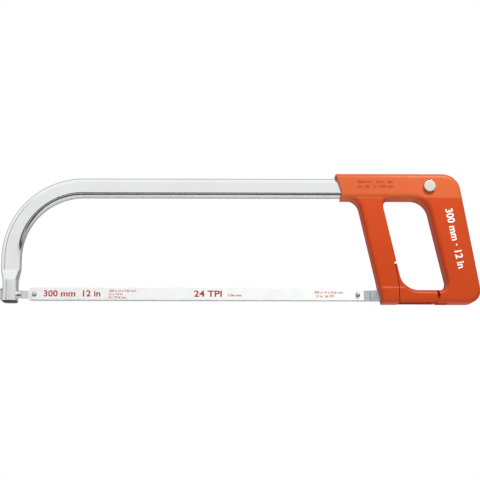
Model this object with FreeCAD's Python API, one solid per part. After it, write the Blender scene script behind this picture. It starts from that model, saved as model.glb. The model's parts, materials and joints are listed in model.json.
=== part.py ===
import FreeCAD, Part
import math
import os

from FreeCAD import Vector

# Hacksaw with a bent tube bow, a cast D handle and an over-centre tension lever.
# Working frame, millimetres: X runs from the blade's front hole towards the handle,
# Y is across the saw, Z is up, and the blade's centre line is Y = Z = 0.
# place() moves the finished solids to the row frame, whose origin is the middle of
# the bottom of the bounding box.

# ---- general ----
PAST = 9.0                   # how far a cutting shape runs past what it cuts
LAP = 1.0                    # how far fused shapes reach into each other
FLAT = 0.01                  # tolerance for finding edges by their place

# ---- blade pegs and blade ----
PEG_R = 1.6
PEG_PLAY = 0.05              # gap left where a peg bears on its hole
PEG_STAND = 2.6              # how far a peg stands out past the mid-plane
HOLE_PLAY = 0.75             # blade hole radius over peg radius
BLADE_HOLES = 300.0          # hole centre to hole centre
BLADE_HEIGHT = 12.9
BLADE_THICK = 0.65
BLADE_END = 5.8              # hole centre to the blade's end
BLADE_HOLE_R = PEG_R + HOLE_PLAY
BLADE_TOP_CORNER = 4.0
BLADE_LOW_CORNER = 2.0
BLADE_SEAT_GAP = 0.05
TEETH_PER_INCH = 24
TOOTH_DEPTH = 0.7
TOOTH_MARGIN = 4.0           # plain edge kept at each end of the teeth
TOOTH_FACE = 0.55            # part of the pitch taken by a tooth's sloping back
TOOTH_GULLET = 0.9           # part of the pitch where the next tooth's face starts

# ---- bow tube ----
TUBE_AXIS_Z = 100.8
LEG_X = -22.6
TUBE_TALL = 18.4             # in the plane of the bow
TUBE_WIDE = 12.0             # across the bow
TUBE_WALL = 1.5
TUBE_CORNER = 4.5
SWAGE_TOP_Z = 22.4
SWAGE_LOW_Z = 12.9
SWAGE_TALL = 13.6            # pinched leg, in the plane of the bow
SWAGE_WIDE = 16.6            # pinched leg, across the bow
SWAGE_CORNER = 5.0
STRAIGHT_LEG = 12.4          # full section left between the bend and the pinched part
BEND_R = TUBE_AXIS_Z - SWAGE_TOP_Z - STRAIGHT_LEG
TUBE_REAR_X = BLADE_HOLES + 78.0
TUBE_END_Z = -6.2

# ---- front end fittings ----
PLUG_FLANGE = 1.4
PLUG_EDGE = 0.2              # how far the flange stays inside the tube's outline
PLUG_ROUND = 1.1
PLUG_STEM = 14.0
PLUG_FIT = 0.1
THREAD_R = 3.0
THREAD_FIT = 0.05
THREAD_END = 0.6             # thread left outside the nut
SHANK_R = THREAD_R + 0.5
SHANK_FIT = 0.1
NUT_FLATS = 2 * THREAD_R + 4.0
NUT_THICK = 3.2
NUT_BEVEL = 1.44
TONGUE_START_X = LEG_X + SWAGE_TALL / 2 + 3.8
TONGUE_TALL = 7.0
TONGUE_END = PEG_R + 2.6     # peg centre to the tongue's tip

# ---- drawbar, crosswise stack of links, cranks, ears and cheeks ----
DRAWBAR_HALF = 2.0
DRAWBAR_TALL = 10.0
DRAWBAR_DROP = 0.8           # centre of the bar below the blade's centre line
LINK_THICK = 1.6
CRANK_THICK = 2.6
EAR_THICK = 2.4
WASHER_THICK = 0.4
LINK_GAP = 0.2
EAR_GAP = 0.3
WASHER_GAP = 0.05
LINK_NEAR = DRAWBAR_HALF + LINK_GAP
LINK_BAND = (LINK_NEAR, LINK_NEAR + LINK_THICK)
CRANK_BAND = (LINK_BAND[1] + LINK_GAP, LINK_BAND[1] + LINK_GAP + CRANK_THICK)
EAR_BAND = (CRANK_BAND[1] + EAR_GAP, CRANK_BAND[1] + EAR_GAP + EAR_THICK)
WASHER_BAND = (EAR_BAND[1] + WASHER_GAP, EAR_BAND[1] + WASHER_GAP + WASHER_THICK)
CHEEK_INNER = WASHER_BAND[1] + WASHER_GAP

# ---- guide of the drawbar, pins and clips ----
GUIDE_WALL = 1.2
GUIDE_FIT = 0.1
GUIDE_PRESS = 0.02           # room round the guide in its seat
GUIDE_X = (BLADE_HOLES + 21.6, BLADE_HOLES + 27.0)
LINK_PIN_R = 1.5
PIN_FIT = 0.05
LINK_SLOT = 0.8              # how far the links' rear eye is drawn out to the rear
LINK_SLOT_PLAY = 0.35        # extra half height of that eye
LINK_EYE_WALL = 0.35
LINK_TALL = 2 * (LINK_PIN_R + LINK_SLOT_PLAY + LINK_EYE_WALL)
DRAWBAR_PIN_X = BLADE_HOLES + 32.0
DRAWBAR_PIN_Z = -DRAWBAR_DROP - 0.8
DRAWBAR_STEP_X = BLADE_HOLES + 12.0
DRAWBAR_END_R = LINK_PIN_R + 2.1
SPACER_WALL = 0.9
SPACER_GAP = 0.1
CLIP_GAP = 0.1
CLIP_THICK = 0.5
CLIP_R = LINK_PIN_R + 1.1
CLIP_GRIP = 0.02
CLIP_MOUTH = 0.8             # half width of the clip's open side
PIN_END = 0.3                # pin left outside its clip
PIN_HALF = LINK_BAND[1] + CLIP_GAP + CLIP_THICK + PIN_END
FOOT_SLOT_HALF = PIN_HALF + 0.5
FOOT_SLOT_Z = (DRAWBAR_PIN_Z - 5.2, DRAWBAR_PIN_Z + 6.8)

# ---- handle casting ----
ROOF_WALL = 3.5              # above the tube
SOFFIT_WALL = 1.6            # below the tube
SOLE_WALL = 1.2              # below the drawbar's guide
HANDLE_TOP_Z = TUBE_AXIS_Z + TUBE_TALL / 2 + ROOF_WALL
UNDERSIDE_Z = TUBE_AXIS_Z - TUBE_TALL / 2 - SOFFIT_WALL
HANDLE_LOW_Z = -DRAWBAR_DROP - DRAWBAR_TALL / 2 - GUIDE_FIT - GUIDE_WALL - SOLE_WALL
FLOOR_Z = 3.8                # floor of the hand opening
FOOT_TOP_Z = FLOOR_Z + 4.8
PILLAR_LEAN = 12.35          # degrees from upright, pillar and hand opening
REAR_LEAN = 9.35             # degrees from upright, back of the grip
PILLAR_FRONT_X = BLADE_HOLES + 20.304    # these four at the height of the blade's centre
PILLAR_REAR_X = BLADE_HOLES + 42.704
OPENING_REAR_X = BLADE_HOLES + 84.604
GRIP_BACK_X = BLADE_HOLES + 113.419
MOUTH_TOP_LEAD = 20.0        # top of the mouth, ahead of the pillar's front at the soffit
MOUTH_NECK_LEAD = 14.3
MOUTH_LIP_LEAD = 15.7
NECK_DROP = 5.1              # neck of the mouth below the tube's centre line
BLOCK_HALF = TUBE_WIDE / 2 + 6.0
PILLAR_HALF = BLOCK_HALF - 1.6
FOOT_HALF = BLOCK_HALF
TOP_CORNER_R = 17.0
LOW_CORNER_R = 12.0
THROAT_CORNER_R = 13.0
OPENING_FRONT_R = 7.5
OPENING_TOP_R = 17.0
OPENING_LOW_R = 7.0
LEVER_CURVE_R = 17.5
BLOCK_ROUND = 4.5
PILLAR_ROUND = 4.0
BLEND = 0.5                  # how far the pillar's flares start inside the block
THROAT_SPREAD = 0.81         # reach of the pillar's flares from its line, in corner radii
OPENING_SPREAD = 1.4
SOCKET_FIT = 0.1
SOCKET_END = 0.5             # room behind the tube's end

# ---- tension lever ----
PIVOT = (BLADE_HOLES + 69.0, -1.0)
SEAM_X = PIVOT[0] - 31.3     # front end of the lever
HEEL_X = PIVOT[0] + 3.2      # rear end of the lever
SPINE_START_X = HEEL_X - 3.0
SEAM_GAP = 0.7
HEEL_GAP = 0.6
TIP = (SEAM_X - 3.1, FOOT_TOP_Z + 19.8)
TIP_NOTCH_R = 2.0
TIP_NOTCH_OFF = (0.6, 1.2)   # notch centre from the lever's tip
WEB_THICK = 1.6
SWEEP_GAP = 0.3              # between the turning heel and the hollow around it
CRANK_THROW = 7.8
CRANK_LEAD = 5.0             # degrees that the crank stands above dead centre
CRANK_EYE_R = LINK_PIN_R + 1.1
CRANK_ROOT = 10.0            # length of the crank's root ahead of the pivot
CRANK_HEEL = 3.1             # lower edge of the crank's root below the pivot

# ---- lever pivot, pocket and core of the grip ----
PIVOT_R = 1.7
PIVOT_FIT = 0.06
PIVOT_SUNK = 0.3             # pin ends below the cheeks' faces
EAR_R = PIVOT_R + 1.2
EAR_ARM_Z = (-5.6, -1.3)     # lower and upper edge of the ears' arms, from the pivot
WASHER_R = PIVOT_R + 1.1
POCKET_FIT = 0.3
POCKET_ROOF_Z = FLOOR_Z - 1.05
POCKET_REAR_X = PIVOT[0] + 13.5
CORE_WALL = 7.0              # metal left around the core inside the grip
CORE_TOP_Z = UNDERSIDE_Z - 10.0
CORE_CORNER = 4.0

# ---- lock button ----
BUTTON_X = TUBE_REAR_X - 10.3
BUTTON_R = 5.5
BUTTON_PROUD = 3.0
BUTTON_SKIRT = 2.0           # part of the button that is sunk in the block at rest
BUTTON_TRAVEL = 2.6
BUTTON_FIT = 0.25
BUTTON_ROUND = 0.8
DIMPLE_R = 0.7
DIMPLE_DEEP = 0.4
SPIGOT_END = 1.6             # button face to the end of the plunger's spigot
TAIL_END = 0.8               # retainer face to the end of the plunger's tail
STEM_R = 2.5
TAIL_R = 1.8
STEM_FIT = 0.1
COLLAR_R = 3.9
COLLAR_THICK = 2.4
SPRING_WIRE_R = 0.3
SPRING_R = 2.9               # centre of the wire
SPRING_TURNS = 3.5
SPRING_END_GAP = 0.1


def along(lean, x_blade, z):
    """X at height z of a line through (x_blade, 0) that leans back going down."""
    return x_blade - z * math.tan(math.radians(lean))


def point(x, z, y=0.0):
    return Vector(x, y, z)


def outline(corners):
    """Closed XZ face from (x, z, radius) corners, each rounded by its radius."""
    count = len(corners)
    edges = []
    starts = []
    for i in range(count):
        x, z, radius = corners[i]
        here = point(x, z)
        before = point(*corners[i - 1][:2])
        after = point(*corners[(i + 1) % count][:2])
        back = (before - here).normalize()
        ahead = (after - here).normalize()
        if radius == 0:
            starts.append((here, here, None))
            continue
        half = back.getAngle(ahead) / 2
        reach = radius / math.tan(half)
        bisector = (back + ahead).normalize()
        middle = here + bisector * (radius / math.sin(half) - radius)
        starts.append((here + back * reach, here + ahead * reach, middle))
    for i in range(count):
        enter, leave, middle = starts[i]
        following = starts[(i + 1) % count][0]
        if middle is not None:
            edges.append(Part.Arc(enter, middle, leave).toShape())
        if (following - leave).Length > 1e-6:
            edges.append(Part.makeLine(leave, following))
    return Part.Face(Part.Wire(edges))


def slab(corners, low_y, high_y):
    """The outline, extruded across the saw from low_y to high_y."""
    face = outline(corners)
    face.translate(Vector(0, low_y, 0))
    return face.extrude(Vector(0, high_y - low_y, 0))


def block(low, high):
    """Box between two opposite corners."""
    low = Vector(*low)
    size = Vector(*high) - low
    return Part.makeBox(size.x, size.y, size.z, low)


def rod_y(x, z, radius, low_y, high_y):
    return Part.makeCylinder(radius, high_y - low_y, Vector(x, low_y, z), Vector(0, 1, 0))


def rod_x(radius, low_x, high_x, z=0.0):
    return Part.makeCylinder(radius, high_x - low_x, Vector(low_x, 0, z), Vector(1, 0, 0))


def side_edges(solid, half, keep):
    """Edges that lie in the planes Y = +half and Y = -half and pass keep(middle)."""
    found = []
    for edge in solid.Edges:
        box = edge.BoundBox
        flat = box.YLength < 1e-6 and abs(abs(box.YMin) - half) < 1e-6
        if flat and keep(edge.valueAt((edge.FirstParameter + edge.LastParameter) / 2)):
            found.append(edge)
    return found


def both_sides(make, band):
    """Two copies of a slab-like solid, one on each side of the mid-plane."""
    near, far = band
    return [make(near, far), make(-far, -near)]


def section(tall, wide, corner, shrink):
    """Rounded tube section in the local XY plane, made smaller all round by shrink."""
    half_tall = tall / 2 - shrink
    half_wide = wide / 2 - shrink
    radius = corner - shrink
    blank = Part.makeBox(2 * half_tall, 2 * half_wide, 1, Vector(-half_tall, -half_wide, 0))
    upright = [e for e in blank.Edges if e.BoundBox.ZLength > 0.5]
    rounded = blank.makeFillet(radius, upright)
    face = [f for f in rounded.Faces if f.BoundBox.ZMax < 1e-6][0]
    return face.OuterWire


def leg_wire(tall, wide, corner, shrink, z):
    wire = section(tall, wide, corner, shrink)
    wire.translate(Vector(LEG_X, 0, z))
    return wire


def bow_bar(shrink):
    """The bow as one solid bar, its section made smaller all round by shrink."""
    bend_z = TUBE_AXIS_Z - BEND_R
    bend_x = LEG_X + BEND_R
    full = leg_wire(TUBE_TALL, TUBE_WIDE, TUBE_CORNER, shrink, bend_z)
    elbow = Part.Face(full).revolve(Vector(bend_x, 0, bend_z), Vector(0, 1, 0), 90)
    leg = Part.Face(full).extrude(Vector(0, 0, SWAGE_TOP_Z - bend_z))
    straight_wire = section(TUBE_TALL, TUBE_WIDE, TUBE_CORNER, shrink)
    straight_wire.rotate(Vector(0, 0, 0), Vector(0, 1, 0), 90)
    straight_wire.translate(Vector(bend_x, 0, TUBE_AXIS_Z))
    straight = Part.Face(straight_wire).extrude(Vector(TUBE_REAR_X - bend_x, 0, 0))
    wide_wire = leg_wire(TUBE_TALL, TUBE_WIDE, TUBE_CORNER, shrink, SWAGE_TOP_Z)
    pinched = leg_wire(SWAGE_TALL, SWAGE_WIDE, SWAGE_CORNER, shrink, SWAGE_LOW_Z)
    swage = Part.makeLoft([wide_wire, pinched], True, True)
    foot = Part.Face(pinched).extrude(Vector(0, 0, TUBE_END_Z - SWAGE_LOW_Z))
    return straight.fuse([elbow, leg, swage, foot]).removeSplitter()


def leg_outer_x():
    return LEG_X - SWAGE_TALL / 2


def make_bow_tube():
    tube = bow_bar(0).cut(bow_bar(TUBE_WALL))
    shank_hole = rod_x(SHANK_R + SHANK_FIT, leg_outer_x() - LAP, LEG_X + SWAGE_TALL)
    near_hole = rod_y(BUTTON_X, TUBE_AXIS_Z, COLLAR_R + STEM_FIT, -TUBE_WIDE, 0)
    far_hole = rod_y(BUTTON_X, TUBE_AXIS_Z, TAIL_R + STEM_FIT, 0, TUBE_WIDE)
    return tube.cut([shank_hole, near_hole, far_hole] + keyhole_slots())


def make_front_end_plug():
    stem_wire = leg_wire(SWAGE_TALL, SWAGE_WIDE, SWAGE_CORNER, TUBE_WALL + PLUG_FIT, TUBE_END_Z)
    stem = Part.Face(stem_wire).extrude(Vector(0, 0, PLUG_STEM))
    flange_wire = leg_wire(SWAGE_TALL, SWAGE_WIDE, SWAGE_CORNER, PLUG_EDGE, TUBE_END_Z)
    flange = Part.Face(flange_wire).extrude(Vector(0, 0, -PLUG_FLANGE))
    rim = [e for e in flange.Edges if e.BoundBox.ZMax < TUBE_END_Z - PLUG_FLANGE + FLAT]
    flange = flange.makeFillet(PLUG_ROUND, rim)
    bore = rod_x(SHANK_R + SHANK_FIT, leg_outer_x(), LEG_X + SWAGE_TALL)
    return stem.fuse(flange).removeSplitter().cut(bore)


def peg_shift():
    """Distance between a hole's centre and the peg that bears on its outer side."""
    return BLADE_HOLE_R - PEG_R - PEG_PLAY


def seat_y():
    return BLADE_THICK / 2 + BLADE_SEAT_GAP


def make_peg(x, root_y):
    """Peg with a rounded nose, through a tongue whose back is at root_y."""
    shaft = rod_y(x, 0, PEG_R, -PEG_STAND, root_y)
    tip = [e for e in shaft.Edges if e.BoundBox.YMax < -PEG_STAND + FLAT]
    return shaft.makeFillet(PEG_R / 2, tip)


def front_peg_x():
    return -peg_shift()


def rear_peg_x():
    return BLADE_HOLES + peg_shift()


def make_front_blade_holder():
    thread_end = leg_outer_x() - NUT_THICK - THREAD_END
    shank = rod_x(SHANK_R, leg_outer_x() + LAP, TONGUE_START_X)
    thread = rod_x(THREAD_R, thread_end, leg_outer_x() + LAP)
    tip_x = front_peg_x() + TONGUE_END
    tongue = block((TONGUE_START_X - LAP, seat_y(), -TONGUE_TALL / 2),
                   (tip_x, SHANK_R, TONGUE_TALL / 2))
    corners = [e for e in tongue.Edges if e.BoundBox.YLength > LAP and e.BoundBox.XMin > tip_x - FLAT]
    tongue = tongue.makeFillet(TONGUE_TALL / 3, corners)
    hole = rod_y(front_peg_x(), 0, PEG_R, 0, SHANK_R)
    return shank.fuse([thread, tongue]).removeSplitter().cut(hole)


def make_front_adjusting_nut():
    across = NUT_FLATS / math.sqrt(3)
    corners = []
    for i in range(7):
        turn = math.radians(60 * i)
        corners.append(Vector(0, across * math.sin(turn), across * math.cos(turn)))
    outer_x = leg_outer_x() - NUT_THICK
    hexagon = Part.Face(Part.makePolygon(corners)).extrude(Vector(NUT_THICK, 0, 0))
    hexagon.translate(Vector(outer_x, 0, 0))
    wide = across + NUT_BEVEL
    cone = Part.makeCone(across - NUT_BEVEL, wide, 2 * NUT_BEVEL, Vector(outer_x, 0, 0), Vector(1, 0, 0))
    body = rod_x(wide, outer_x + 2 * NUT_BEVEL, leg_outer_x())
    nut = hexagon.common(cone.fuse(body))
    return nut.cut(rod_x(THREAD_R + THREAD_FIT, outer_x - LAP, leg_outer_x() + LAP))


def make_blade():
    top = BLADE_HEIGHT / 2
    root = TOOTH_DEPTH - top
    left = -BLADE_END
    right = BLADE_HOLES + BLADE_END
    corners = [
        (left, root, BLADE_LOW_CORNER),
        (right, root, BLADE_LOW_CORNER),
        (right, top, BLADE_TOP_CORNER),
        (left, top, BLADE_TOP_CORNER),
    ]
    body = slab(corners, -BLADE_THICK / 2, BLADE_THICK / 2)
    pitch = 25.4 / TEETH_PER_INCH
    count = int((right - left - 2 * TOOTH_MARGIN) / pitch)
    start = (left + right - count * pitch) / 2
    edge = [point(start, root + TOOTH_DEPTH)]
    for i in range(count):
        edge.append(point(start + i * pitch, -top))
        edge.append(point(start + (i + TOOTH_FACE) * pitch, root))
        edge.append(point(start + (i + TOOTH_GULLET) * pitch, root))
    edge.append(point(start + count * pitch, root + TOOTH_DEPTH))
    edge.append(edge[0])
    teeth = Part.Face(Part.makePolygon(edge)).extrude(Vector(0, BLADE_THICK, 0))
    teeth.translate(Vector(0, -BLADE_THICK / 2, 0))
    blade = body.fuse(teeth).removeSplitter()
    holes = [rod_y(x, 0, BLADE_HOLE_R, -LAP, LAP) for x in (0, BLADE_HOLES)]
    return blade.cut(holes)


def grip_back(z):
    return along(REAR_LEAN, GRIP_BACK_X, z)


def pillar_front(z):
    return along(PILLAR_LEAN, PILLAR_FRONT_X, z)


def pillar_rear(z):
    return along(PILLAR_LEAN, PILLAR_REAR_X, z)


def opening_rear(z):
    return along(PILLAR_LEAN, OPENING_REAR_X, z)


def mouth_x(lead):
    return pillar_front(UNDERSIDE_Z) - lead


def spine_solid():
    """Upper block, grip and rear corner: an arch with the same thickness all along."""
    neck_x = mouth_x(MOUTH_NECK_LEAD)
    corners = [
        (mouth_x(MOUTH_TOP_LEAD), HANDLE_TOP_Z, 0),
        (neck_x, TUBE_AXIS_Z - NECK_DROP, 0),
        (mouth_x(MOUTH_LIP_LEAD), UNDERSIDE_Z, 0),
        (opening_rear(UNDERSIDE_Z), UNDERSIDE_Z, OPENING_TOP_R),
        (opening_rear(FLOOR_Z), FLOOR_Z, OPENING_LOW_R),
        (SPINE_START_X, FLOOR_Z, 0),
        (SPINE_START_X, HANDLE_LOW_Z, 0),
        (grip_back(HANDLE_LOW_Z), HANDLE_LOW_Z, LOW_CORNER_R),
        (grip_back(HANDLE_TOP_Z), HANDLE_TOP_Z, TOP_CORNER_R),
    ]
    solid = slab(corners, -BLOCK_HALF, BLOCK_HALF)

    def rounded(middle):
        at_mouth = middle.x < neck_x and UNDERSIDE_Z + FLAT < middle.z < HANDLE_TOP_Z - FLAT
        at_start = abs(middle.x - SPINE_START_X) < FLAT
        return not at_mouth and not at_start

    return solid.makeFillet(BLOCK_ROUND, side_edges(solid, BLOCK_HALF, rounded))


def web_solid():
    """Pillar and the zone of the lever, thinner than the block."""
    inside = UNDERSIDE_Z + BLEND
    top = UNDERSIDE_Z + 2 * BLOCK_ROUND
    front_x = pillar_front(inside) - THROAT_SPREAD * THROAT_CORNER_R
    rear_x = pillar_rear(inside) + OPENING_SPREAD * OPENING_FRONT_R
    corners = [
        (front_x, inside, 0),
        (pillar_front(inside), inside, THROAT_CORNER_R),
        (pillar_front(HANDLE_LOW_Z), HANDLE_LOW_Z, 0),
        (HEEL_X, HANDLE_LOW_Z, 0),
        (HEEL_X, FLOOR_Z, 0),
        (pillar_rear(FLOOR_Z), FLOOR_Z, LEVER_CURVE_R),
        (pillar_rear(inside), inside, OPENING_FRONT_R),
        (rear_x, inside, 0),
        (rear_x, top, 0),
        (front_x, top, 0),
    ]
    solid = slab(corners, -PILLAR_HALF, PILLAR_HALF)

    def rounded(middle):
        return middle.z < inside - FLAT and abs(middle.x - HEEL_X) > FLAT

    return solid.makeFillet(PILLAR_ROUND, side_edges(solid, PILLAR_HALF, rounded))


def foot_solid():
    """Thick band along the bottom, from the pillar's foot to the start of the grip."""
    above = FOOT_TOP_Z + 3 * BLOCK_ROUND
    corners = [
        (pillar_front(above), above, 0),
        (pillar_front(HANDLE_LOW_Z), HANDLE_LOW_Z, 0),
        (HEEL_X, HANDLE_LOW_Z, 0),
        (HEEL_X, FLOOR_Z, 0),
        (pillar_rear(FLOOR_Z), FLOOR_Z, LEVER_CURVE_R),
        (pillar_rear(above), above, 0),
    ]
    solid = slab(corners, -FOOT_HALF, FOOT_HALF)
    over = block((pillar_front(above) - PAST, -FOOT_HALF - LAP, FOOT_TOP_Z),
                 (HEEL_X + PAST, FOOT_HALF + LAP, above + PAST))
    solid = solid.cut(over)

    def rounded(middle):
        return abs(middle.x - HEEL_X) > FLAT

    return solid.makeFillet(BLOCK_ROUND, side_edges(solid, FOOT_HALF, rounded))


def socket_bar():
    """Space for the straight end of the bow tube, with its fit, from the mouth inwards."""
    wire = section(TUBE_TALL, TUBE_WIDE, TUBE_CORNER, -SOCKET_FIT)
    wire.rotate(Vector(0, 0, 0), Vector(0, 1, 0), 90)
    start_x = mouth_x(MOUTH_TOP_LEAD) - PAST
    wire.translate(Vector(start_x, 0, TUBE_AXIS_Z))
    return Part.Face(wire).extrude(Vector(TUBE_REAR_X + SOCKET_END - start_x, 0, 0))


def casting():
    """The closed D in one piece, before the lever is parted from it."""
    return spine_solid().fuse([web_solid(), foot_solid()]).removeSplitter()


def lever_zone(gap, heel_gap):
    """Everything that belongs to the lever, grown by the seam gaps."""
    reach = FOOT_HALF + PAST
    low = HANDLE_LOW_Z - PAST
    top = TIP[1] + gap
    corners = [
        (TIP[0] - gap, top, 0),
        (SEAM_X - gap, FOOT_TOP_Z, 0),
        (SEAM_X - gap, low, 0),
        (HEEL_X + heel_gap, low, 0),
        (HEEL_X + heel_gap, top, 0),
    ]
    return slab(corners, -reach, reach)


def crank_eye():
    lead = math.radians(CRANK_LEAD)
    return PIVOT[0] + CRANK_THROW * math.cos(lead), PIVOT[1] + CRANK_THROW * math.sin(lead)


def web_low_z():
    return FLOOR_Z - WEB_THICK


def crank_arm(near, far):
    x, z = crank_eye()
    inside_web = FLOOR_Z - WEB_THICK / 2
    corners = [
        (PIVOT[0] - CRANK_ROOT, inside_web, 0),
        (PIVOT[0] + LAP, inside_web, 0),
        (x, z + CRANK_EYE_R, 0),
        (x, z - CRANK_EYE_R, 0),
        (PIVOT[0] - 2 * LAP, PIVOT[1] - CRANK_HEEL, 2 * LAP),
        (PIVOT[0] - CRANK_ROOT, PIVOT[1] + LAP, 0),
    ]
    return slab(corners, near, far).fuse(rod_y(x, z, CRANK_EYE_R, near, far))


def make_tension_lever(body):
    shell = body.common(lever_zone(0, 0))
    front_r = PIVOT[0] - SEAM_X
    reach = FOOT_HALF + LAP
    disc = rod_y(PIVOT[0], PIVOT[1], front_r, -reach, reach)
    above = block((TIP[0] - PAST, -reach, PIVOT[1]), (HEEL_X + PAST, reach, TIP[1] + PAST))
    shell = shell.common(disc.fuse(above))
    channel = block((SEAM_X - PAST, -CHEEK_INNER, HANDLE_LOW_Z - LAP),
                    (HEEL_X + LAP, CHEEK_INNER, web_low_z()))
    shell = shell.cut(channel)
    shell = shell.fuse(both_sides(crank_arm, CRANK_BAND)).removeSplitter()

    def pivot_hole(near, far):
        return rod_y(PIVOT[0], PIVOT[1], PIVOT_R, near, far)

    x, z = crank_eye()
    crank_hole = rod_y(x, z, LINK_PIN_R, -reach, reach)
    return shell.cut(both_sides(pivot_hole, (CHEEK_INNER - LAP / 2, reach)) + [crank_hole])


def ear(near, far):
    nose = rod_y(PIVOT[0], PIVOT[1], EAR_R, near, far)
    low, high = EAR_ARM_Z
    arm = block((PIVOT[0], near, PIVOT[1] + low), (POCKET_REAR_X - 4 * LAP, far, PIVOT[1] + high))
    return nose.fuse(arm).cut(rod_y(PIVOT[0], PIVOT[1], PIVOT_R + PIVOT_FIT, near - LAP, far + LAP))


def grip_core(half):
    """Core left out of the grip, so that its wall is even."""
    low_z = PIVOT[1]
    corners = [
        (opening_rear(CORE_TOP_Z) + CORE_WALL, CORE_TOP_Z, CORE_CORNER),
        (grip_back(CORE_TOP_Z) - CORE_WALL, CORE_TOP_Z, CORE_CORNER),
        (grip_back(low_z) - LOW_CORNER_R, low_z, CORE_CORNER),
        (opening_rear(low_z) - CORE_WALL, low_z, 0),
        (opening_rear(POCKET_ROOF_Z) - CORE_WALL, POCKET_ROOF_Z, 0),
        (opening_rear(FLOOR_Z) + CORE_WALL, FLOOR_Z, 0),
    ]
    return slab(corners, -half, half)


def button_bores():
    wall = BLOCK_HALF - BUTTON_SKIRT - BUTTON_TRAVEL - BUTTON_FIT
    well = rod_y(BUTTON_X, TUBE_AXIS_Z, BUTTON_R + BUTTON_FIT, -BLOCK_HALF - LAP, -wall)
    stem = rod_y(BUTTON_X, TUBE_AXIS_Z, STEM_R + STEM_FIT, -BLOCK_HALF, 0)
    tail = rod_y(BUTTON_X, TUBE_AXIS_Z, TAIL_R + STEM_FIT, 0, BLOCK_HALF + LAP)
    return [well, stem, tail]


def guide_half():
    return DRAWBAR_HALF + GUIDE_FIT + GUIDE_WALL


def guide_block(low_x, high_x, extra):
    half = guide_half() + extra
    tall = DRAWBAR_TALL / 2 + GUIDE_FIT + GUIDE_WALL + extra
    return block((low_x, -half, -DRAWBAR_DROP - tall), (high_x, half, -DRAWBAR_DROP + tall))


def drawbar_slot(low_x, high_x, fit):
    half = DRAWBAR_HALF + fit
    tall = DRAWBAR_TALL / 2 + fit
    return block((low_x, -half, -DRAWBAR_DROP - tall), (high_x, half, -DRAWBAR_DROP + tall))


def make_handle(body):
    frame = body.cut(lever_zone(SEAM_GAP, HEEL_GAP))
    off_x, off_z = TIP_NOTCH_OFF
    notch = rod_y(TIP[0] + off_x, TIP[1] + off_z, TIP_NOTCH_R, -FOOT_HALF, FOOT_HALF)
    heel_r = math.hypot(HEEL_X - PIVOT[0], FLOOR_Z - PIVOT[1]) + SWEEP_GAP
    hollow = rod_y(PIVOT[0], PIVOT[1], heel_r, -FOOT_HALF - LAP, FOOT_HALF + LAP)
    half = CRANK_BAND[1] + POCKET_FIT
    pocket = block((HEEL_X - PAST, -half, HANDLE_LOW_Z - LAP), (POCKET_REAR_X, half, POCKET_ROOF_Z))
    bar_way = drawbar_slot(pillar_front(FLOOR_Z) - PAST, GUIDE_X[0] + LAP, 5 * GUIDE_FIT)
    guide_seat = guide_block(GUIDE_X[0], GUIDE_X[1] + LAP, GUIDE_PRESS)
    link_way = block((GUIDE_X[1] + GUIDE_FIT / 2, -FOOT_SLOT_HALF, FOOT_SLOT_Z[0]),
                     (SEAM_X, FOOT_SLOT_HALF, FOOT_SLOT_Z[1]))
    cuts = [notch, hollow, pocket, bar_way, guide_seat, link_way, grip_core(half), socket_bar()]
    frame = frame.cut(cuts + button_bores())
    return frame.fuse(both_sides(ear, EAR_BAND)).removeSplitter()


def make_lever_pivot_pins():
    def stub(near, far):
        return rod_y(PIVOT[0], PIVOT[1], PIVOT_R, near, far)
    return Part.makeCompound(both_sides(stub, (EAR_BAND[0] + PIVOT_FIT, FOOT_HALF - PIVOT_SUNK)))


def ring(x, z, inner, outer, near, far):
    return rod_y(x, z, outer, near, far).cut(rod_y(x, z, inner, near - LAP, far + LAP))


def make_pivot_washers():
    def washer(near, far):
        return ring(PIVOT[0], PIVOT[1], PIVOT_R + PIVOT_FIT, WASHER_R, near, far)
    return Part.makeCompound(both_sides(washer, WASHER_BAND))


def make_crank_pin():
    x, z = crank_eye()
    return rod_y(x, z, LINK_PIN_R, -CRANK_BAND[1], CRANK_BAND[1])


def make_link_spacer():
    x, z = crank_eye()
    half = LINK_BAND[0] - SPACER_GAP
    return ring(x, z, LINK_PIN_R, LINK_PIN_R + SPACER_WALL, -half, half)


def make_tension_links():
    x, z = crank_eye()
    start = point(DRAWBAR_PIN_X, DRAWBAR_PIN_Z)
    span = point(x, z) - start
    lean = math.degrees(math.atan2(span.z, span.x))
    eye_r = LINK_TALL / 2

    def link(near, far):
        bar = block((0, near, -eye_r), (span.Length + LINK_SLOT, far, eye_r))
        bar = bar.fuse([rod_y(0, 0, eye_r, near, far), rod_y(span.Length + LINK_SLOT, 0, eye_r, near, far)])
        low = near - LAP
        high = far + LAP
        slot_r = LINK_PIN_R + LINK_SLOT_PLAY
        slot = block((span.Length, low, -slot_r), (span.Length + LINK_SLOT, high, slot_r))
        holes = [rod_y(0, 0, LINK_PIN_R + PIN_FIT, low, high), slot,
                 rod_y(span.Length, 0, slot_r, low, high),
                 rod_y(span.Length + LINK_SLOT, 0, slot_r, low, high)]
        bar = bar.removeSplitter().cut(holes)
        bar.rotate(Vector(0, 0, 0), Vector(0, 1, 0), -lean)
        bar.translate(start)
        return bar
    return Part.makeCompound(both_sides(link, LINK_BAND))


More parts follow.
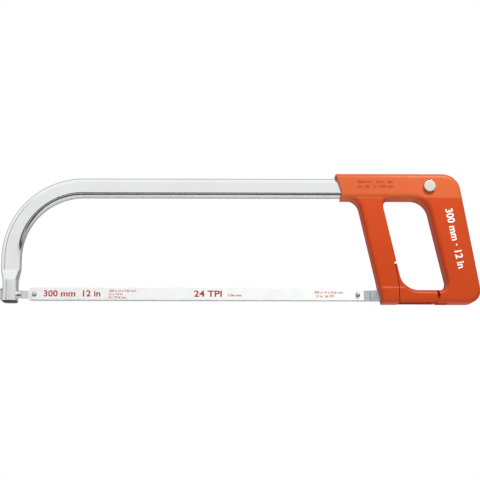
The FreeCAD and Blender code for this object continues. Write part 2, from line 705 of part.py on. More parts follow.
def make_drawbar():
    low_z = -DRAWBAR_DROP - DRAWBAR_TALL / 2
    high_z = low_z + DRAWBAR_TALL
    neck_x = DRAWBAR_PIN_X - DRAWBAR_END_R
    bar = block((DRAWBAR_STEP_X, -DRAWBAR_HALF, low_z), (neck_x, DRAWBAR_HALF, high_z))
    end_low = DRAWBAR_PIN_Z - DRAWBAR_END_R
    end_high = DRAWBAR_PIN_Z + DRAWBAR_END_R
    neck = block((neck_x - LAP, -DRAWBAR_HALF, end_low), (DRAWBAR_PIN_X, DRAWBAR_HALF, end_high))
    eye = rod_y(DRAWBAR_PIN_X, DRAWBAR_PIN_Z, DRAWBAR_END_R, -DRAWBAR_HALF, DRAWBAR_HALF)
    tip_x = rear_peg_x() - TONGUE_END
    tongue = block((tip_x, seat_y(), low_z), (DRAWBAR_STEP_X + LAP, DRAWBAR_HALF, high_z))
    corners = [e for e in tongue.Edges if e.BoundBox.YLength > LAP and e.BoundBox.XMax < tip_x + FLAT]
    tongue = tongue.makeFillet(DRAWBAR_TALL / 3, corners)
    holes = [rod_y(DRAWBAR_PIN_X, DRAWBAR_PIN_Z, LINK_PIN_R, -PAST, PAST),
             rod_y(rear_peg_x(), 0, PEG_R, -PAST, PAST)]
    return bar.fuse([neck, eye, tongue]).removeSplitter().cut(holes)


def make_drawbar_pin():
    return rod_y(DRAWBAR_PIN_X, DRAWBAR_PIN_Z, LINK_PIN_R, -PIN_HALF, PIN_HALF)


def make_pin_clips():
    def clip(near, far):
        band = ring(DRAWBAR_PIN_X, DRAWBAR_PIN_Z, LINK_PIN_R + CLIP_GRIP, CLIP_R, near, far)
        mouth = block((DRAWBAR_PIN_X - CLIP_MOUTH, near - LAP, DRAWBAR_PIN_Z),
                      (DRAWBAR_PIN_X + CLIP_MOUTH, far + LAP, DRAWBAR_PIN_Z + PAST))
        return band.cut(mouth)
    start = LINK_BAND[1] + CLIP_GAP
    return Part.makeCompound(both_sides(clip, (start, start + CLIP_THICK)))


def make_drawbar_guide():
    frame = guide_block(GUIDE_X[0], GUIDE_X[1], 0)
    return frame.cut(drawbar_slot(GUIDE_X[0] - LAP, GUIDE_X[1] + LAP, GUIDE_FIT))


def make_button_cap():
    face = -BLOCK_HALF - BUTTON_PROUD
    cap = rod_y(BUTTON_X, TUBE_AXIS_Z, BUTTON_R, face, -BLOCK_HALF + BUTTON_SKIRT)
    rim = [e for e in cap.Edges if e.BoundBox.YMax < face + FLAT]
    cap = cap.makeFillet(BUTTON_ROUND, rim)
    dimple = rod_y(BUTTON_X, TUBE_AXIS_Z, DIMPLE_R, face - LAP, face + DIMPLE_DEEP)
    thread = rod_y(BUTTON_X, TUBE_AXIS_Z, TAIL_R, face + SPIGOT_END, 0)
    return cap.cut([dimple, thread])


def make_lock_plunger():
    face = -BLOCK_HALF - BUTTON_PROUD
    collar_y = -TUBE_WIDE / 2
    spigot = rod_y(BUTTON_X, TUBE_AXIS_Z, TAIL_R, face + SPIGOT_END, -BLOCK_HALF + BUTTON_SKIRT)
    stem = rod_y(BUTTON_X, TUBE_AXIS_Z, STEM_R, -BLOCK_HALF + BUTTON_SKIRT, collar_y)
    collar = rod_y(BUTTON_X, TUBE_AXIS_Z, COLLAR_R, collar_y, collar_y + COLLAR_THICK)
    tail = rod_y(BUTTON_X, TUBE_AXIS_Z, TAIL_R, collar_y, BLOCK_HALF + BUTTON_PROUD - TAIL_END)
    return spigot.fuse([stem, collar, tail]).removeSplitter()


def make_plunger_retainer():
    face = BLOCK_HALF + BUTTON_PROUD
    cap = rod_y(BUTTON_X, TUBE_AXIS_Z, BUTTON_R, BLOCK_HALF, face)
    rim = [e for e in cap.Edges if e.BoundBox.YMin > face - FLAT]
    cap = cap.makeFillet(BUTTON_ROUND, rim)
    return cap.cut(rod_y(BUTTON_X, TUBE_AXIS_Z, TAIL_R, 0, face - TAIL_END))


def make_button_spring():
    start = -TUBE_WIDE / 2 + COLLAR_THICK + SPRING_WIRE_R + SPRING_END_GAP
    end = TUBE_WIDE / 2 - TUBE_WALL - SPRING_WIRE_R - SPRING_END_GAP
    height = end - start
    helix = Part.makeHelix(height / SPRING_TURNS, height, SPRING_R)
    wire_end = Part.Wire(Part.makeCircle(SPRING_WIRE_R, Vector(SPRING_R, 0, 0), Vector(0, 1, 0)))
    coil = Part.Wire(helix).makePipeShell([wire_end], True, True)
    coil.rotate(Vector(0, 0, 0), Vector(1, 0, 0), -90)
    coil.translate(Vector(BUTTON_X, start, TUBE_AXIS_Z))
    return coil


def keyhole_slots():
    """Open slots that let the bow leave the handle once the button is pressed."""
    near = block((BUTTON_X, -TUBE_WIDE, TUBE_AXIS_Z - STEM_R - STEM_FIT),
                 (TUBE_REAR_X + LAP, 0, TUBE_AXIS_Z + STEM_R + STEM_FIT))
    far = block((BUTTON_X, 0, TUBE_AXIS_Z - TAIL_R - STEM_FIT),
                (TUBE_REAR_X + LAP, TUBE_WIDE, TUBE_AXIS_Z + TAIL_R + STEM_FIT))
    return [near, far]


def place(shapes):
    """Move every piece so that the origin is the middle of the box's bottom."""
    box = Part.makeCompound(list(shapes.values())).optimalBoundingBox(False, False)
    shift = Vector(-(box.XMin + box.XMax) / 2, -(box.YMin + box.YMax) / 2, -box.ZMin)
    for shape in shapes.values():
        shape.translate(shift)
    return shift


def main():
    body = casting()
    shapes = {
        "bow_tube": make_bow_tube(),
        "front_end_plug": make_front_end_plug(),
        "front_blade_holder": make_front_blade_holder(),
        "front_blade_pin": make_peg(front_peg_x(), SHANK_R),
        "front_adjusting_nut": make_front_adjusting_nut(),
        "blade": make_blade(),
        "handle": make_handle(body),
        "tension_lever": make_tension_lever(body),
        "lever_pivot_pins": make_lever_pivot_pins(),
        "pivot_washers": make_pivot_washers(),
        "crank_pin": make_crank_pin(),
        "link_spacer": make_link_spacer(),
        "tension_links": make_tension_links(),
        "drawbar": make_drawbar(),
        "drawbar_pin": make_drawbar_pin(),
        "pin_clips": make_pin_clips(),
        "rear_blade_pin": make_peg(rear_peg_x(), DRAWBAR_HALF),
        "drawbar_guide": make_drawbar_guide(),
        "button_cap": make_button_cap(),
        "lock_plunger": make_lock_plunger(),
        "plunger_retainer": make_plunger_retainer(),
        "button_spring": make_button_spring(),
    }
    shift = place(shapes)
    print("shift", [round(v, 3) for v in shift])
    os.makedirs("parts", exist_ok=True)
    for name, shape in shapes.items():
        box = shape.optimalBoundingBox(False, False)
        low = [round(v, 2) for v in (box.XMin, box.YMin, box.ZMin)]
        high = [round(v, 2) for v in (box.XMax, box.YMax, box.ZMax)]
        print(name, shape.isValid(), len(shape.Solids), round(shape.Volume), low, high)
        shape.exportStep("parts/" + name + ".step")


main()
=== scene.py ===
import json
import math
import bpy
from mathutils import Matrix, Vector


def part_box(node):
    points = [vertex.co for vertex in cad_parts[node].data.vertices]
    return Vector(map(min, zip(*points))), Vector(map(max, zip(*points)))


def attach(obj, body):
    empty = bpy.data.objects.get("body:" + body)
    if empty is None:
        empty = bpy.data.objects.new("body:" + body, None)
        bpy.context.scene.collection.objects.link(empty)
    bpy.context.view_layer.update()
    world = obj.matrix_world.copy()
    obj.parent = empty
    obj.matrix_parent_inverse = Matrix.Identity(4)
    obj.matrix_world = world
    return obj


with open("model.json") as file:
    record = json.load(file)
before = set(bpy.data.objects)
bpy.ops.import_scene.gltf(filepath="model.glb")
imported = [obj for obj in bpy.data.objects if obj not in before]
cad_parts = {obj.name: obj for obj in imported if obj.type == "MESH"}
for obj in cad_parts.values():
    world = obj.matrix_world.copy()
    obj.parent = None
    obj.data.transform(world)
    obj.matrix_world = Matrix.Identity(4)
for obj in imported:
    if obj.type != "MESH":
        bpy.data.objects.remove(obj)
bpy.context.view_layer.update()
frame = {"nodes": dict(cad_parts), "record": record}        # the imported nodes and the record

cadNodes = frame["nodes"]
print("frame loaded,", len(cadNodes), "nodes")


def newGroup(name, scale, outputs):
    group = bpy.data.node_groups.new(name, "ShaderNodeTree")
    socket = group.interface.new_socket("Scale", in_out="INPUT", socket_type="NodeSocketFloat")
    socket.default_value = scale
    for label in outputs:
        group.interface.new_socket(label, in_out="OUTPUT", socket_type="NodeSocketFloat")
    start = group.nodes.new("NodeGroupInput")
    end = group.nodes.new("NodeGroupOutput")
    return group, start.outputs["Scale"], end


def calc(tree, operation, first, second=None, third=None):
    node = tree.nodes.new("ShaderNodeMath")
    node.operation = operation
    for i, value in enumerate((first, second, third)):
        if value is None:
            continue
        if hasattr(value, "links"):
            tree.links.new(value, node.inputs[i])
        else:
            node.inputs[i].default_value = value
    return node.outputs[0]


def ramp(tree, value, low, high, toLow=0.0, toHigh=1.0):
    node = tree.nodes.new("ShaderNodeMapRange")
    node.interpolation_type = "SMOOTHSTEP"
    tree.links.new(value, node.inputs["Value"])
    node.inputs["From Min"].default_value = low
    node.inputs["From Max"].default_value = high
    node.inputs["To Min"].default_value = toLow
    node.inputs["To Max"].default_value = toHigh
    return node.outputs["Result"]


def place(tree):
    return tree.nodes.new("ShaderNodeTexCoord").outputs["Object"]


def axisOf(tree, axis, vector=None):
    split = tree.nodes.new("ShaderNodeSeparateXYZ")
    tree.links.new(vector or place(tree), split.inputs[0])
    return split.outputs[axis]


def lengthOf(tree, vector):
    node = tree.nodes.new("ShaderNodeVectorMath")
    node.operation = "LENGTH"
    tree.links.new(vector, node.inputs[0])
    return node.outputs["Value"]


def noise(tree, scale, detail=2.0):
    node = tree.nodes.new("ShaderNodeTexNoise")
    tree.links.new(place(tree), node.inputs["Vector"])
    if hasattr(scale, "links"):
        tree.links.new(scale, node.inputs["Scale"])
    else:
        node.inputs["Scale"].default_value = scale
    node.inputs["Detail"].default_value = detail
    return node.outputs["Fac"]


# fine even texture, for moulded, sprayed and cast faces
grainLook = {"scale": 900.0, "detail": 3.0, "driftScale": 28.0, "driftDetail": 4.0}
grainGroup, grainScale, grainOut = newGroup("fineGrain", grainLook["scale"], ["Height", "Drift"])
fineNoise = noise(grainGroup, grainScale, grainLook["detail"])
driftNoise = noise(grainGroup, grainLook["driftScale"], grainLook["driftDetail"])
grainGroup.links.new(fineNoise, grainOut.inputs["Height"])
grainGroup.links.new(driftNoise, grainOut.inputs["Drift"])

# long thin rubbing marks along X, for drawn and ground metal
hairLook = {
    "scale": 1.0,
    "detail": 2.0,
    "stretch": (12.0, 1400.0, 1400.0),
    "low": 0.62,
    "high": 0.78,
}
hairGroup, hairScale, hairOut = newGroup("hairlines", hairLook["scale"], ["Height", "Mask"])
hairNoise = hairGroup.nodes.new("ShaderNodeTexNoise")
hairMap = hairGroup.nodes.new("ShaderNodeMapping")
hairMap.inputs["Scale"].default_value = hairLook["stretch"]
hairGroup.links.new(place(hairGroup), hairMap.inputs["Vector"])
hairGroup.links.new(hairMap.outputs["Vector"], hairNoise.inputs["Vector"])
hairGroup.links.new(hairScale, hairNoise.inputs["Scale"])
hairNoise.inputs["Detail"].default_value = hairLook["detail"]
hairMask = ramp(hairGroup, hairNoise.outputs["Fac"], hairLook["low"], hairLook["high"])
hairGroup.links.new(hairNoise.outputs["Fac"], hairOut.inputs["Height"])
hairGroup.links.new(hairMask, hairOut.inputs["Mask"])

# soft cloudy marks left by handling
smudgeLook = {"scale": 45.0, "detail": 5.0, "low": 0.42, "high": 0.7}
smudgeGroup, smudgeScale, smudgeOut = newGroup("handMarks", smudgeLook["scale"], ["Mask"])
cloud = noise(smudgeGroup, smudgeScale, smudgeLook["detail"])
smudgeMask = ramp(smudgeGroup, cloud, smudgeLook["low"], smudgeLook["high"])
smudgeGroup.links.new(smudgeMask, smudgeOut.inputs["Mask"])


def useGroup(tree, group, scale):
    node = tree.nodes.new("ShaderNodeGroup")
    node.node_tree = group
    node.inputs["Scale"].default_value = scale
    return node.outputs


def startMaterial(name, **settings):
    material = bpy.data.materials.new(name)
    material.use_nodes = True
    tree = material.node_tree
    shader = tree.nodes["Principled BSDF"]
    for label, value in settings.items():
        shader.inputs[label.replace("_", " ")].default_value = value
    return material, tree, shader


def mixColour(tree, factor, first, second):
    node = tree.nodes.new("ShaderNodeMix")
    node.data_type = "RGBA"
    tree.links.new(factor, node.inputs["Factor"])
    for socket, value in ((node.inputs[6], first), (node.inputs[7], second)):
        if hasattr(value, "links"):
            tree.links.new(value, socket)
        else:
            socket.default_value = (*value, 1.0)
    return node.outputs[2]


def bump(tree, shader, height, distance):
    node = tree.nodes.new("ShaderNodeBump")
    node.inputs["Distance"].default_value = distance
    tree.links.new(height, node.inputs["Height"])
    normal = shader.inputs["Normal"]
    if normal.links:        # laid over the bump that is there already
        tree.links.new(normal.links[0].from_socket, node.inputs["Normal"])
    tree.links.new(node.outputs["Normal"], normal)


def drive(tree, shader, label, value):
    tree.links.new(value, shader.inputs[label])


paint = {
    "colour": (0.52, 0.055, 0.009),
    "thin": (0.58, 0.080, 0.016),        # where the coat lies thinner
    "thinShare": 0.35,
    "driftLow": 0.35,
    "driftHigh": 0.75,
    "block": (0.575, 0.106, 0.028),      # painted sheen: lighter tone on the upper block, standing in for the gloss veil the lamps leave there
    "coat": 0.02,
    "coatRough": 0.15,
    "specular": 0.17,
    "rough": 0.40,
    "smudgeRough": 0.07,
    "smudgeScale": 38.0,
    "grainScale": 620.0,
    "peel": 0.000035,
    "partingHalf": 0.00022,              # half width of the mould's parting line
    "partingRise": 0.00006,
    "creaseHeight": 0.0983,              # where the block's face starts to lean back
    "creaseBlur": 0.0002,
    "lean": 0.055,
}
orangePaint, tree, shader = startMaterial(
    "orangePowderCoat", Coat_Weight=paint["coat"], Coat_Roughness=paint["coatRough"],
    Specular_IOR_Level=paint["specular"])
grain = useGroup(tree, grainGroup, paint["grainScale"])
smudge = useGroup(tree, smudgeGroup, paint["smudgeScale"])
height = axisOf(tree, "Z")
crease = paint["creaseHeight"]
drift = ramp(tree, grain["Drift"], paint["driftLow"], paint["driftHigh"], 0.0, paint["thinShare"])
lower = mixColour(tree, drift, paint["colour"], paint["thin"])
# painted sheen: above the crease the paint turns to the lighter block tone, which stands in for the lamps'
# gloss veil
blockSheenMask = ramp(tree, height, crease - paint["creaseBlur"], crease + paint["creaseBlur"])
drive(tree, shader, "Base Color", mixColour(tree, blockSheenMask, lower, paint["block"]))
rough = calc(tree, "MULTIPLY_ADD", smudge["Mask"], paint["smudgeRough"], paint["rough"])
drive(tree, shader, "Roughness", rough)
bump(tree, shader, grain["Height"], paint["peel"])
across = calc(tree, "ABSOLUTE", axisOf(tree, "Y"))
parting = ramp(tree, across, 0.0, paint["partingHalf"], 1.0, 0.0)
bump(tree, shader, parting, paint["partingRise"])
rise = calc(tree, "MAXIMUM", calc(tree, "SUBTRACT", height, crease), 0.0)
bump(tree, shader, calc(tree, "MULTIPLY", rise, -paint["lean"]), 1.0)

chrome = {
    "colour": (0.88, 0.89, 0.885),
    "deep": (0.84, 0.855, 0.855),
    "driftLow": 0.35,
    "driftHigh": 0.8,
    "rough": 0.09,
    "smudgeRough": 0.05,
    "smudgeScale": 30.0,
    "grainScale": 240.0,
    "ripple": 0.00006,
    "pinchLow": 0.0172,                  # the duller finish of the pinched foot fades out from here
    "pinchTop": 0.0327,
    "pinchRough": 0.12,
}
chromeTube, tree, shader = startMaterial("chromeTube", Metallic=1.0)
smudge = useGroup(tree, smudgeGroup, chrome["smudgeScale"])
grain = useGroup(tree, grainGroup, chrome["grainScale"])
pinched = ramp(tree, axisOf(tree, "Z"), chrome["pinchLow"], chrome["pinchTop"], 1.0, 0.0)
drift = ramp(tree, grain["Drift"], chrome["driftLow"], chrome["driftHigh"])
drive(tree, shader, "Base Color", mixColour(tree, drift, chrome["colour"], chrome["deep"]))
rough = calc(tree, "MULTIPLY_ADD", smudge["Mask"], chrome["smudgeRough"], chrome["rough"])
rough = calc(tree, "MULTIPLY_ADD", pinched, chrome["pinchRough"], rough)
drive(tree, shader, "Roughness", rough)
bump(tree, shader, grain["Drift"], chrome["ripple"])

satin = {"driftLow": 0.2, "driftHigh": 0.8}        # how far the drift sways a satin finish
plastic = {
    "dark": (0.010, 0.010, 0.011),
    "light": (0.022, 0.022, 0.024),
    "rough": (0.38, 0.55),
    "grainScale": 1500.0,
    "grainDepth": 0.00002,
}
blackPlastic, tree, shader = startMaterial("mouldedBlackPlastic")
grain = useGroup(tree, grainGroup, plastic["grainScale"])
tone = mixColour(tree, grain["Drift"], plastic["dark"], plastic["light"])
rough = ramp(tree, grain["Drift"], satin["driftLow"], satin["driftHigh"], *plastic["rough"])
drive(tree, shader, "Base Color", tone)
drive(tree, shader, "Roughness", rough)
bump(tree, shader, grain["Height"], plastic["grainDepth"])

plating = {"smudgeScale": 120.0, "hairRough": 0.15, "hairDepth": 0.00001}


def platedSteel(name, dark, light, rough, scale):
    material, tree, shader = startMaterial(name, Metallic=1.0)
    hair = useGroup(tree, hairGroup, scale)
    smudge = useGroup(tree, smudgeGroup, plating["smudgeScale"])
    worn = calc(tree, "MULTIPLY_ADD", hair["Mask"], plating["hairRough"], rough)
    drive(tree, shader, "Base Color", mixColour(tree, smudge["Mask"], light, dark))
    drive(tree, shader, "Roughness", worn)
    bump(tree, shader, hair["Height"], plating["hairDepth"])
    return material


# name, dark, light, roughness, size of the rubbing marks
zincSteel = platedSteel("zincPlatedSteel", (0.66, 0.69, 0.73), (0.78, 0.80, 0.83), 0.20, 0.8)
pegSteel = platedSteel("turnedPegSteel", (0.36, 0.37, 0.38), (0.52, 0.53, 0.53), 0.30, 1.3)
drawbarSteel = platedSteel("drawbarSteel", (0.47, 0.54, 0.59), (0.60, 0.66, 0.70), 0.33, 0.6)
springSteel = platedSteel("oiledSpringSteel", (0.20, 0.21, 0.22), (0.32, 0.33, 0.35), 0.28, 1.6)

cap = {
    "bright": (0.74, 0.72, 0.64),
    "dull": (0.66, 0.63, 0.55),
    "metallic": 0.85,
    "rough": 0.24,
    "smudgeRough": 0.08,
    "smudgeScale": 90.0,
    "turnPitch": 0.00022,                # lathe rings around the cap's middle
    "turnDepth": 0.000004,
}
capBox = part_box("button_cap")
capMiddle = (capBox[0] + capBox[1]) / 2
polishedCap, tree, shader = startMaterial("turnedPolishedCap", Metallic=cap["metallic"])
mapping = tree.nodes.new("ShaderNodeMapping")
mapping.inputs["Location"].default_value = (-capMiddle.x, 0.0, -capMiddle.z)
mapping.inputs["Scale"].default_value = (1.0, 0.0, 1.0)
tree.links.new(place(tree), mapping.inputs["Vector"])
radius = lengthOf(tree, mapping.outputs["Vector"])
turns = calc(tree, "SINE", calc(tree, "MULTIPLY", radius, 2 * math.pi / cap["turnPitch"]))
smudge = useGroup(tree, smudgeGroup, cap["smudgeScale"])
rough = calc(tree, "MULTIPLY_ADD", smudge["Mask"], cap["smudgeRough"], cap["rough"])
drive(tree, shader, "Base Color", mixColour(tree, smudge["Mask"], cap["bright"], cap["dull"]))
drive(tree, shader, "Roughness", rough)
bump(tree, shader, turns, cap["turnDepth"])

blade = {
    "enamel": (0.93, 0.94, 0.92),
    "smear": (0.74, 0.76, 0.77),
    "smearShare": 0.25,
    "coat": 0.15,
    "steel": (0.50, 0.52, 0.53),
    "steelMetallic": 0.75,
    "bareTop": 0.0017,                   # the enamel ends this far above the tooth tips
    "bareBlur": 0.0002,
    "wobble": 0.0005,
    "wobbleScale": 160.0,
    "rough": 0.34,
    "hairRough": 0.10,
    "hairDepth": 0.000006,
    "hairScale": 0.7,
    "smudgeScale": 60.0,
}
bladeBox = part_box("blade")
whiteBlade, tree, shader = startMaterial("whiteEnamelBlade", Coat_Weight=blade["coat"])
height = axisOf(tree, "Z")
bareTop = bladeBox[0].z + blade["bareTop"]
wobble = calc(tree, "MULTIPLY_ADD", noise(tree, blade["wobbleScale"]), blade["wobble"], height)
bare = ramp(tree, wobble, bareTop, bareTop + blade["bareBlur"], 1.0, 0.0)
hair = useGroup(tree, hairGroup, blade["hairScale"])
smudge = useGroup(tree, smudgeGroup, blade["smudgeScale"])
smear = calc(tree, "MULTIPLY", smudge["Mask"], blade["smearShare"])
enamel = mixColour(tree, smear, blade["enamel"], blade["smear"])
rough = calc(tree, "MULTIPLY_ADD", hair["Mask"], blade["hairRough"], blade["rough"])
drive(tree, shader, "Base Color", mixColour(tree, bare, enamel, blade["steel"]))
drive(tree, shader, "Metallic", calc(tree, "MULTIPLY", bare, blade["steelMetallic"]))
drive(tree, shader, "Roughness", rough)
bump(tree, shader, hair["Height"], blade["hairDepth"])

ink = {
    "grainScale": 2600.0,
    "wornLow": 0.5,
    "wornHigh": 0.75,
    "rough": (0.42, 0.55),
    "depth": 0.000008,
}


def inkMaterial(name, colour, worn):
    material, tree, shader = startMaterial(name)
    grain = useGroup(tree, grainGroup, ink["grainScale"])
    rubbed = ramp(tree, grain["Height"], ink["wornLow"], ink["wornHigh"])
    rough = ramp(tree, grain["Drift"], satin["driftLow"], satin["driftHigh"], *ink["rough"])
    drive(tree, shader, "Base Color", mixColour(tree, rubbed, colour, worn))
    drive(tree, shader, "Roughness", rough)
    bump(tree, shader, grain["Height"], ink["depth"])
    return material


redInk = inkMaterial("redPrint", (0.44, 0.012, 0.010), (0.52, 0.045, 0.035))
whiteInk = inkMaterial("whitePrint", (0.95, 0.93, 0.88), (0.86, 0.80, 0.74))
# painted shade: the raised cast letters are coloured darker to stand in for the shade around them
castShade = inkMaterial("castLetterPaintedShade", (0.36, 0.042, 0.008), (0.44, 0.060, 0.012))

pins = {
    "dark": (0.44, 0.45, 0.46),
    "light": (0.56, 0.57, 0.57),
    "rough": (0.30, 0.42),
    "paintFrom": 0.0006,                 # the paint reaches this far in from the pins' ends
    "paintTo": 0.0004,
}
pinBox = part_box("lever_pivot_pins")
pinEnd = pinBox[1].y
paintedPin, tree, shader = startMaterial("paintedPivotPins")
grain = useGroup(tree, grainGroup, paint["grainScale"])
across = calc(tree, "ABSOLUTE", axisOf(tree, "Y"))
outside = ramp(tree, across, pinEnd - pins["paintFrom"], pinEnd - pins["paintTo"])
steel = mixColour(tree, grain["Drift"], pins["dark"], pins["light"])
rough = ramp(tree, grain["Drift"], satin["driftLow"], satin["driftHigh"], *pins["rough"])
drive(tree, shader, "Base Color", mixColour(tree, outside, steel, paint["colour"]))
drive(tree, shader, "Metallic", calc(tree, "SUBTRACT", 1.0, outside))
drive(tree, shader, "Roughness", rough)
bump(tree, shader, grain["Height"], paint["peel"])

finishes = {
    "chrome_tube": chromeTube,
    "black_plastic": blackPlastic,
    "zinc_steel": zincSteel,
    "peg_steel": pegSteel,
    "white_blade": whiteBlade,
    "orange_paint": orangePaint,
    "drawbar_steel": drawbarSteel,
    "spring_steel": springSteel,
    "polished_cap": polishedCap,
}
for part in frame["record"]["subparts"]:
    for slot in cadNodes[part["node"]].material_slots:
        slot.material = finishes[part["material_slot"]]
for slot in cadNodes["lever_pivot_pins"].material_slots:
    slot.material = paintedPin
print("materials set")

letterCut = {"boldness": 0.022, "curveSteps": 3, "mergeWithin": 0.00001}


def letter(name, text, size, thickness, middle, body, material,
           lean=0.0, flip=False, squeeze=1.0):
    bpy.ops.object.select_all(action="DESELECT")
    bpy.ops.object.text_add()
    words = bpy.context.object
    words.name = name
    words.data.body = text
    words.data.size = size
    words.data.align_x = "CENTER"
    words.data.align_y = "CENTER"
    words.data.extrude = thickness / 2
    words.data.resolution_u = letterCut["curveSteps"]
    words.data.offset = size * letterCut["boldness"]
    bpy.ops.object.convert(target="MESH")
    piece = bpy.context.object
    upright = Matrix.Rotation(math.radians(90), 4, "X")
    turn = Matrix.Rotation(math.radians(lean), 4, "Y") @ upright
    if flip:        # reads from the far side
        turn = Matrix.Rotation(math.radians(180), 4, "Z") @ turn
    piece.matrix_world = Matrix.Translation(middle) @ turn @ Matrix.Diagonal((squeeze, 1, 1, 1))
    bpy.ops.object.transform_apply(location=True, rotation=True, scale=True)
    bpy.ops.object.mode_set(mode="EDIT")
    bpy.ops.mesh.select_all(action="SELECT")
    bpy.ops.mesh.remove_doubles(threshold=letterCut["mergeWithin"])
    bpy.ops.mesh.normals_make_consistent(inside=False)
    bpy.ops.object.mode_set(mode="OBJECT")
    piece.data.materials.clear()
    piece.data.materials.append(material)
    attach(piece, body)


gripText = {
    "words": "300 mm · 12 in",
    "size": 0.0094,
    "thickness": 0.00012,
    "x": 0.2000,
    "height": 0.0600,
    "lean": 79.5,                        # degrees, down the slope of the grip
    "face": 0.0120,                      # half the thickness of the casting
}
for name, side in (("gripMarkNear", -1), ("gripMarkFar", 1)):
    middle = (gripText["x"], side * gripText["face"], gripText["height"])
    letter(name, gripText["words"], gripText["size"], gripText["thickness"], middle,
           "frame", whiteInk, lean=-side * gripText["lean"], flip=side > 0)

castText = {
    "lines": ("300 mm   12 in   M6", "24 - 32   0 - 300 mm"),
    "size": 0.0032,
    "thickness": 0.00050,
    "x": 0.1275,
    "height": 0.1112,
    "gap": 0.0044,
    "squeeze": 1.25,
}
for i, line in enumerate(castText["lines"]):
    z = castText["height"] - (i - 0.5) * castText["gap"]
    letter("castMark" + str(i), line, castText["size"], castText["thickness"],
           (castText["x"], -gripText["face"], z),
           "frame", castShade, squeeze=castText["squeeze"])

bladeText = {
    "thickness": 0.00004,
    "standOff": 0.00001,
    "marks": (      # name, words, letter size, x, rise above the middle, squeeze
        ("bladeLengthMark", "300 mm  12 in", 0.0080, -0.1550, 0.0006, 1.14),
        ("bladeFineMark0", "300 x 13 x 0.65 mm", 0.0028, -0.1080, 0.0034, 1.1),
        ("bladeFineMark1", "12 x 1/2 in", 0.0028, -0.1147, 0.0003, 1.1),
        ("bladeFineMark2", "24 / 25.4 mm", 0.0028, -0.1128, -0.0028, 1.1),
        ("bladePitchMark", "24 TPI", 0.0082, -0.0285, 0.0006, 1.22),
        ("bladePitchMetricMark", "1.06 mm", 0.0032, -0.0040, -0.0006, 1.15),
        ("bladeEndMark0", "300 x 13 x 0.65 mm", 0.0030, 0.0835, 0.0022, 1.1),
        ("bladeEndMark1", "12 in  24 TPI", 0.0030, 0.0800, -0.0014, 1.1),
    ),
}
bladeFace = bladeBox[0].y - bladeText["standOff"]
bladeMiddle = (bladeBox[0].z + bladeBox[1].z) / 2
for name, words, size, x, rise, squeeze in bladeText["marks"]:
    letter(name, words, size, bladeText["thickness"], (x, bladeFace, bladeMiddle + rise),
           "blade", redInk, squeeze=squeeze)
print("lettering made")

view = {
    "target": (0.001, 0.0, 0.060),
    "distance": 1.0,
    "elevation": -10.0,
    "lens": 80.0,
    "sensor": 36.0,
    "clipStart": 0.01,
    "roll": 0.12,
}


def aimAt(target, spot):
    return (Vector(target) - Vector(spot)).to_track_quat("-Z", "Y").to_matrix().to_4x4()


low = math.radians(view["elevation"])
spot = Vector(view["target"]) + Vector((0, -math.cos(low), math.sin(low))) * view["distance"]
cameraData = bpy.data.cameras.new("camera")
cameraData.lens = view["lens"]
cameraData.sensor_width = view["sensor"]
cameraData.clip_start = view["clipStart"]
camera = bpy.data.objects.new("camera", cameraData)
bpy.context.scene.collection.objects.link(camera)
roll = Matrix.Rotation(math.radians(view["roll"]), 4, "Z")
camera.matrix_world = Matrix.Translation(spot) @ aimAt(view["target"], spot) @ roll
bpy.context.scene.camera = camera


def areaLight(name, position, target, size, power, mirrored):
    data = bpy.data.lights.new(name, "AREA")
    data.shape = "RECTANGLE"
    data.size, data.size_y = size
    data.energy = power
    lamp = bpy.data.objects.new(name, data)
    bpy.context.scene.collection.objects.link(lamp)
    lamp.matrix_world = Matrix.Translation(position) @ aimAt(target, position)
    lamp.visible_glossy = mirrored


lamps = (       # name, place, aimed at, width and height, watts, seen in mirrored metal
    ("keyLight", (0.26, -0.30, 0.42), (0.12, 0, 0.10), (0.10, 0.10), 2.05, True),
    ("frontSoftbox", (-0.40, -1.5, 0.60), (-0.05, 0, 0.06), (0.8, 0.5), 5.0, False),
    ("lowBounce", (0.1, -0.30, -0.32), (0.05, 0, 0.06), (1.2, 0.2), 0.4, False),
    ("bladeFill", (-0.35, -0.75, 0.25), (-0.10, 0, 0.01), (0.5, 0.2), 0.9, False),
    ("backLight", (0.2, 1.3, 0.9), (0, 0, 0.06), (1.4, 0.8), 3.0, False),
    ("topLight", (0.0, 0.1, 1.5), (0, 0, -0.35), (1.6, 1.6), 4.0, False),
)
for lampValues in lamps:
    areaLight(*lampValues)

white, black = (1.0, 1.0, 1.0), (0.0, 0.0, 0.0)
floorLook = {
    "level": -0.35,
    "size": 6.0,
    "dull": (0.84, 0.84, 0.84),
    "pale": (0.88, 0.88, 0.88),
    "patchScale": 3.0,
    "rough": 0.8,
    "glow": 0.34,
    "mirroredGlow": (0.35, 0.35, 0.35),  # share of the glow that mirrored rays see
    "card": (0.02, 0.02, 0.02),          # black card in front of the saw, seen only mirrored
    "cardNear": (0.30, 0.42),            # the card fades in and out over these distances
    "cardFar": (1.05, 1.20),
    "cardBack": (-0.3, 0.0),
}
bpy.ops.object.select_all(action="DESELECT")
bpy.ops.mesh.primitive_plane_add(size=floorLook["size"], location=(0, 0, floorLook["level"]))
floor = bpy.context.object
floor.name = "studioFloor"
paleFloor, tree, shader = startMaterial("paleFloor", Roughness=floorLook["rough"])
pale = mixColour(tree, noise(tree, floorLook["patchScale"]), floorLook["dull"], floorLook["pale"])
mirrored = tree.nodes.new("ShaderNodeLightPath").outputs["Is Glossy Ray"]
away = lengthOf(tree, place(tree))
card = calc(tree, "MULTIPLY", ramp(tree, away, *floorLook["cardNear"]),
            ramp(tree, away, *floorLook["cardFar"], 1.0, 0.0))
inFront = ramp(tree, axisOf(tree, "Y"), *floorLook["cardBack"], 1.0, 0.0)
card = calc(tree, "MULTIPLY", calc(tree, "MULTIPLY", card, inFront), mirrored)
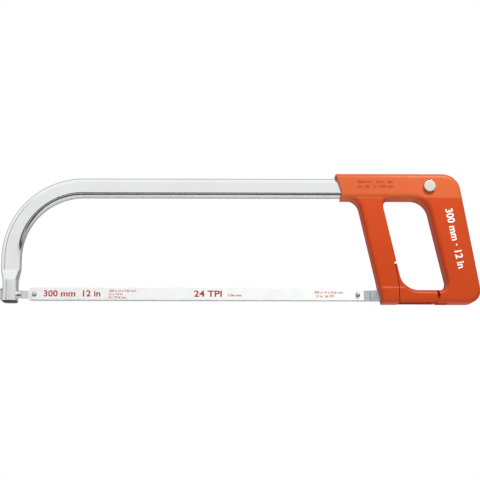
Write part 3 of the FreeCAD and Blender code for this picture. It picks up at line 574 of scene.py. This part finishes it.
glow = mixColour(tree, mirrored, white, floorLook["mirroredGlow"])
drive(tree, shader, "Base Color", mixColour(tree, card, pale, floorLook["card"]))
drive(tree, shader, "Emission Color", mixColour(tree, card, glow, black))
shader.inputs["Emission Strength"].default_value = floorLook["glow"]
floor.data.materials.append(paleFloor)

room = {
    "dark": (0.03, 0.03, 0.03),          # ambient light from the front
    "backdrop": (0.45, 0.45, 0.45),      # ambient light from behind
    "backdropFrom": (-0.1, 0.3),
    "behind": (0.36, 0.36, 0.36),        # what metal mirrors from behind
    "behindFrom": (0.1, 0.5),
    "ground": 0.6,
    "bands": ((0.36, 0.55), (0.40, 0.03), (0.503, 0.02), (0.52, 0.78), (0.57, 0.88),
              (0.62, 0.92), (0.70, 1.0)),        # height in the sky, grey level
    "leftCard": (-0.50, -0.46, -0.38, -0.34),    # fades in and out along X
    "leftCardTop": (0.35, 0.55),
    "leftCardShare": 0.75,
}
world = bpy.data.worlds.new("studio")
world.use_nodes = True
bpy.context.scene.world = world
tree = world.node_tree
background = tree.nodes["Background"]
direction = tree.nodes.new("ShaderNodeTexCoord").outputs["Generated"]
upwards = axisOf(tree, "Z", direction)
depth = axisOf(tree, "Y", direction)
side = axisOf(tree, "X", direction)
sky = tree.nodes.new("ShaderNodeValToRGB")
tree.links.new(calc(tree, "MULTIPLY_ADD", upwards, 0.5, 0.5), sky.inputs["Fac"])
sky.color_ramp.elements[0].color = (room["ground"],) * 3 + (1,)
for position, level in room["bands"]:
    element = sky.color_ramp.elements.new(position)
    element.color = (level, level, level, 1)
leftCard = calc(tree, "MULTIPLY", ramp(tree, side, *room["leftCard"][:2]),
                ramp(tree, side, *room["leftCard"][2:], 1.0, 0.0))
belowTop = ramp(tree, calc(tree, "ABSOLUTE", upwards), *room["leftCardTop"], 1.0, 0.0)
leftCard = calc(tree, "MULTIPLY", leftCard, belowTop)
cardShade = ramp(tree, leftCard, 0.0, 1.0, 0.0, room["leftCardShare"])
mirrorSky = mixColour(tree, cardShade, sky.outputs["Color"], black)
mirrorSky = mixColour(tree, ramp(tree, depth, *room["behindFrom"]), mirrorSky, room["behind"])
fromBehind = ramp(tree, depth, *room["backdropFrom"])
ambient = mixColour(tree, fromBehind, room["dark"], room["backdrop"])
rays = tree.nodes.new("ShaderNodeLightPath")
cast = mixColour(tree, rays.outputs["Is Glossy Ray"], ambient, mirrorSky)
seen = mixColour(tree, rays.outputs["Is Camera Ray"], cast, white)
tree.links.new(seen, background.inputs["Color"])
bpy.context.scene.view_settings.view_transform = "Standard"
print("camera and lights set")
